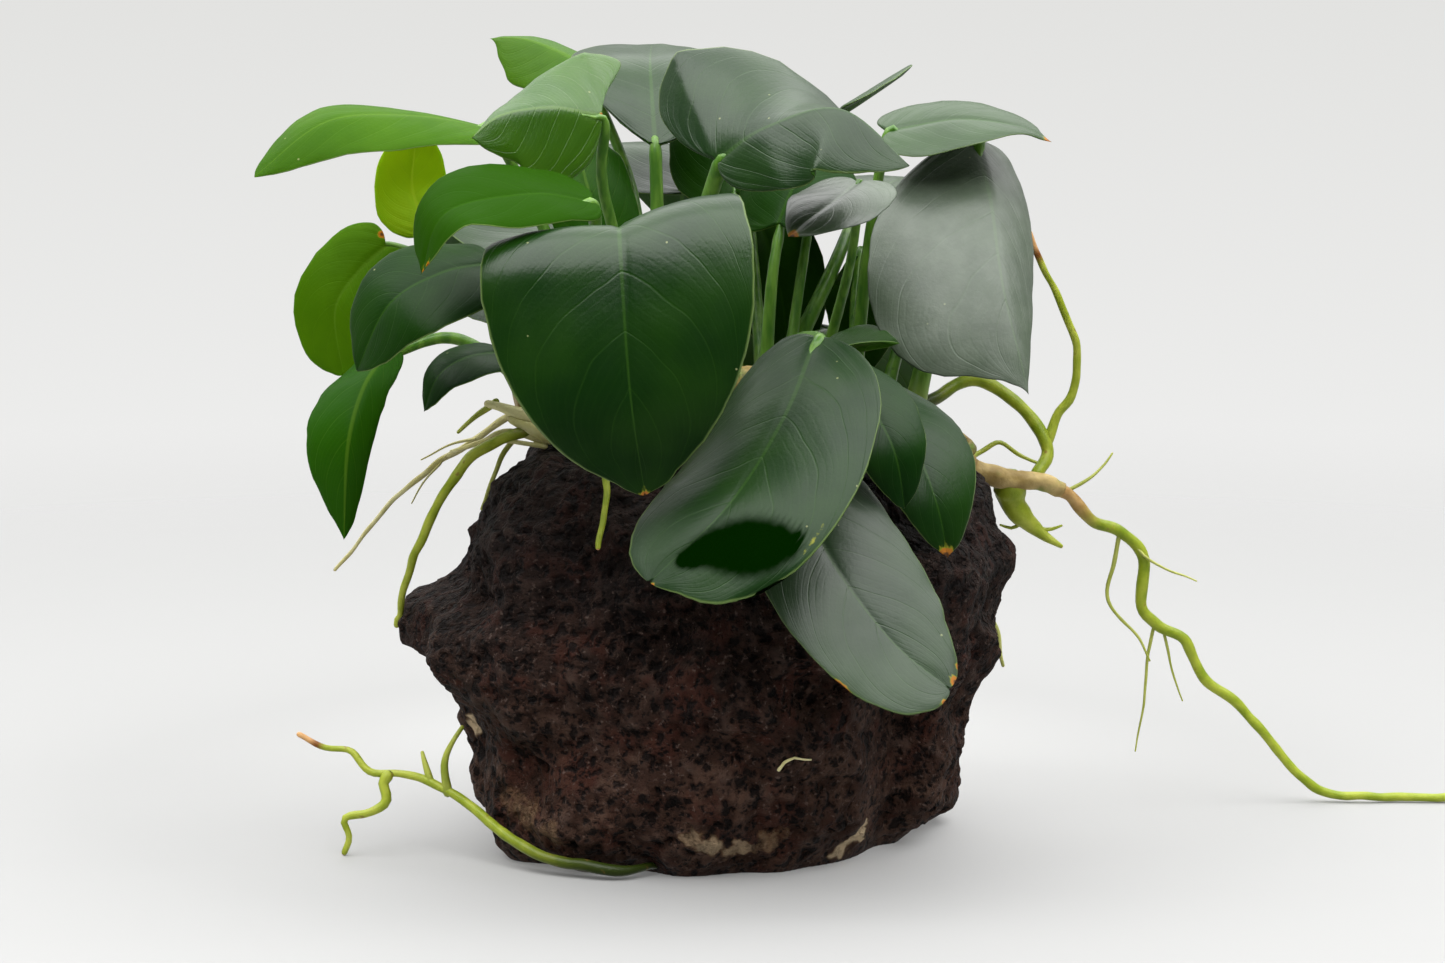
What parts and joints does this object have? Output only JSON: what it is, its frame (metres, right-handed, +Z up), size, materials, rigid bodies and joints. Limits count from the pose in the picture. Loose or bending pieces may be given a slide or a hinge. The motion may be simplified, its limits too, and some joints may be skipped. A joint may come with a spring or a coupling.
{
  "type": "anubias on stone",
  "caption": "Dwarf anubias plant grown over a loose porous lava stone, with heart-shaped leaves on thin stalks, a creeping rhizome and trailing roots.",
  "frame": {"origin": "middle of the stone's flat resting face, on the surface that it stands on", "axes": "+Z up from the resting face, +X to the right and +Y to the back, seen from the side where the biggest leaves hang over the stone"},
  "size_m": [0.1684, 0.1027, 0.1071],
  "materials": {
    "stone": "rough, porous, dark reddish brown",
    "leaf_mature": "waxy gloss, dark green",
    "leaf_fresh": "waxy gloss, mid green",
    "leaf_young": "satin, yellow-green",
    "rhizome": "satin, tan with pale rings",
    "root": "satin, yellow-green with orange tips"
  },
  "bodies": {
    "root": {"leaf_back_left": "leaf_mature", "leaf_back_low_left": "leaf_fresh", "leaf_back_low_middle": "leaf_mature", "leaf_back_low_right": "leaf_mature", "leaf_back_middle": "leaf_mature", "leaf_back_right": "leaf_mature", "leaf_dark_left": "leaf_mature", "leaf_edge_right": "leaf_mature", "leaf_far_left": "leaf_fresh", "leaf_folded_top_left": "leaf_fresh", "leaf_front_heart": "leaf_mature", "leaf_grey_left": "leaf_mature", "leaf_grey_right": "leaf_mature", "leaf_hanging_left": "leaf_fresh", "leaf_hooked_right": "leaf_mature", "leaf_inner_back": "leaf_mature", "leaf_inner_deep": "leaf_mature", "leaf_inner_left": "leaf_fresh", "leaf_inner_low": "leaf_mature", "leaf_inner_right": "leaf_mature", "leaf_left_back": "leaf_mature", "leaf_lower_middle": "leaf_mature", "leaf_lower_right": "leaf_mature", "leaf_right_back": "leaf_mature", "leaf_right_dark": "leaf_mature", "leaf_right_small": "leaf_mature", "leaf_round_left": "leaf_fresh", "leaf_small_under": "leaf_mature", "leaf_thin_back_right": "leaf_mature", "leaf_top_back_left": "leaf_fresh", "leaf_top_middle": "leaf_mature", "leaf_upper_left": "leaf_mature", "leaf_wavy_top": "leaf_mature", "leaf_young_left": "leaf_young", "rhizome": "rhizome", "rhizome_back_left": "rhizome", "rhizome_back_right": "rhizome", "rhizome_end": "rhizome", "root_back_left": "root", "root_back_right": "root", "root_front_short": "root", "root_left_green": "root", "root_left_tan": "root", "root_lower_left": "root", "root_lower_left_branch": "root", "root_right_long": "root", "root_right_loop": "root", "root_right_rising": "root", "root_right_short": "root", "root_right_wedge": "root", "stone": "stone"}
  },
  "joints": []
}
